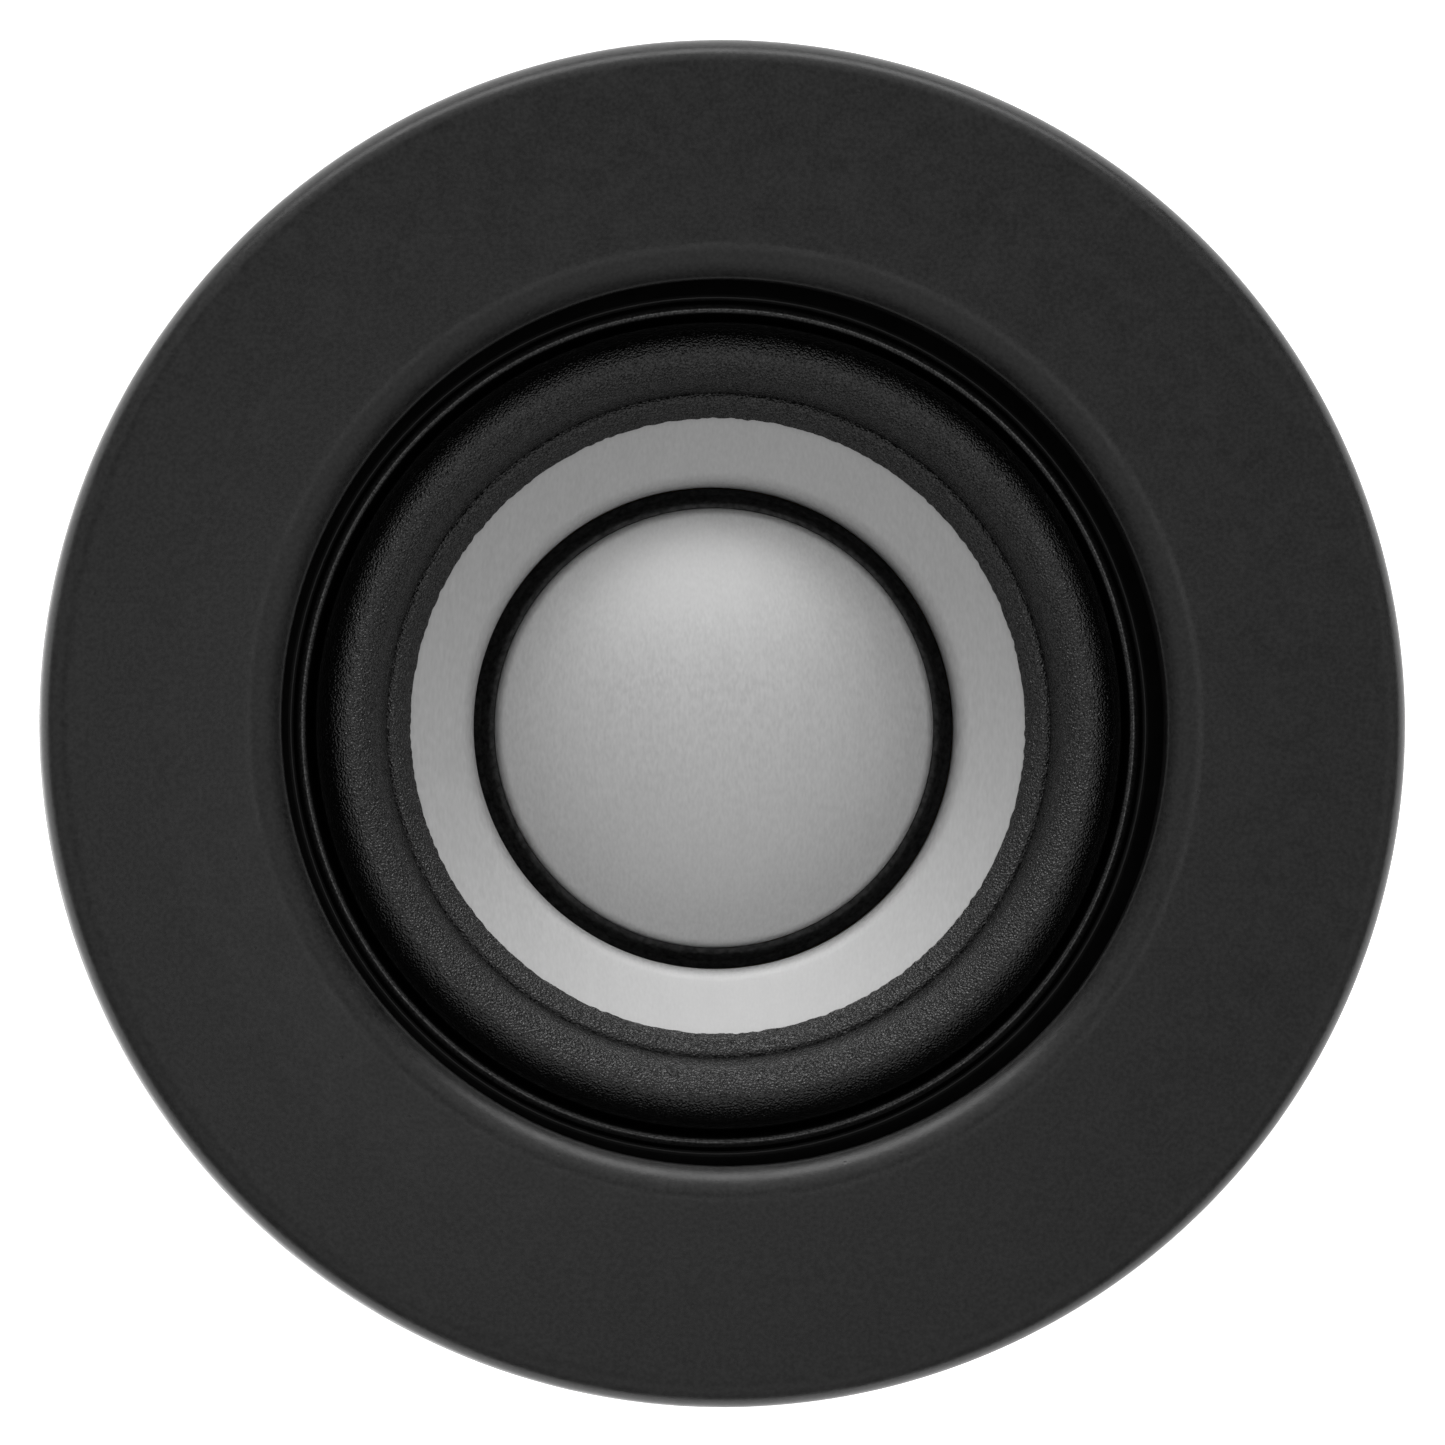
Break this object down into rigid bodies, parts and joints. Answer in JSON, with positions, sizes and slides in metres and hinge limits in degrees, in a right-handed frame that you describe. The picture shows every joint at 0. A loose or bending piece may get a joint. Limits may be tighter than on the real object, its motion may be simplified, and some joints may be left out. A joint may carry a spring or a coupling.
{
  "type": "car tweeter",
  "caption": "Flush-mount round car tweeter: wide black flange, rubber half-roll surround, aluminium cone and dome, and a threaded barrel with a clamp washer and a lock ring.",
  "frame": {"origin": "centre of the magnet cup's rear face, on the surface that the tweeter stands on when it lies face up", "axes": "+Z along the axis, the way the sound leaves; -X towards the terminal board; +Y towards the capacitor"},
  "size_m": [0.06, 0.06, 0.0255],
  "materials": {
    "moulded_flange": "smooth black moulded plastic, satin",
    "moulded_nut": "black moulded plastic, satin",
    "moulded_basket": "black glass-filled plastic",
    "gasket_foam": "closed-cell black foam",
    "zinc_steel": "bright zinc plate",
    "yoke_steel": "turned and zinc-plated steel",
    "black_screw_steel": "black oxide",
    "surround_rubber": "fine-grained black rubber",
    "bonding_rubber": "smooth black elastomer",
    "cone_aluminium": "satin, fine straight brush lines",
    "dome_aluminium": "satin, fine straight brush lines",
    "coil_former_film": "amber polyimide film",
    "coil_copper": "enamelled copper wire",
    "spider_cloth": "resin-dipped woven cloth",
    "magnet_nickel": "nickel plate",
    "pole_steel": "plain steel",
    "copper_sheet": "drawn copper",
    "felt": "grey pressed felt",
    "board_fibre": "brown phenolic fibre",
    "tinned_brass": "bright tin plate",
    "rivet_brass": "plain brass",
    "lead_braid": "braided tinsel",
    "capacitor_sleeve": "dark blue shrink sleeve",
    "adhesive": "black adhesive",
    "tinned_wire": "bright tinned wire"
  },
  "bodies": {
    "housing": {"front_flange": "moulded_flange", "panel_gasket": "gasket_foam", "basket": "moulded_basket", "basket_screw_1": "black_screw_steel", "basket_screw_2": "black_screw_steel", "basket_screw_3": "black_screw_steel", "surround": "surround_rubber", "spider": "spider_cloth", "yoke_cup": "yoke_steel", "magnet": "magnet_nickel", "pole_plate": "pole_steel", "shorting_cap": "copper_sheet", "damping_felt": "felt", "terminal_board": "board_fibre", "board_screw": "black_screw_steel", "terminal_blade_positive": "tinned_brass", "terminal_blade_negative": "tinned_brass", "link_tag": "tinned_brass", "terminal_rivet_1": "rivet_brass", "terminal_rivet_2": "rivet_brass", "terminal_rivet_3": "rivet_brass", "tinsel_lead_positive": "lead_braid", "tinsel_lead_negative": "lead_braid", "highpass_capacitor": "capacitor_sleeve", "capacitor_adhesive": "adhesive", "capacitor_lead_in": "tinned_wire", "capacitor_lead_out": "tinned_wire"},
    "diaphragm": {"cone": "cone_aluminium", "dome": "dome_aluminium", "dome_bonding_ring": "bonding_rubber", "voice_coil_former": "coil_former_film", "voice_coil_winding": "coil_copper"},
    "clamp": {"clamp_washer": "zinc_steel"},
    "nut": {"lock_ring": "moulded_nut"}
  },
  "joints": [
    {"name": "diaphragm_travel", "type": "slide", "parent": "housing", "child": "diaphragm", "axis": [0, 0, 1], "range_m": [-0.0008, 0.0008], "stiffness_N_per_m": 1500, "deforming": ["surround", "spider", "tinsel_lead_positive", "tinsel_lead_negative"]},
    {"name": "clamp_slide", "type": "slide", "parent": "housing", "child": "clamp", "axis": [0, 0, 1], "range_m": [-0.0015, 0.0045]},
    {"name": "lock_ring_turn", "type": "hinge", "parent": "clamp", "child": "nut", "pos_m": [0, 0, 0.012], "axis": [0, 0, 1], "range_deg": [-180, 540]}
  ],
  "couplings": [
    {"joint": "clamp_slide", "follows": "lock_ring_turn", "m_per_rad": 0.00047746}
  ]
}
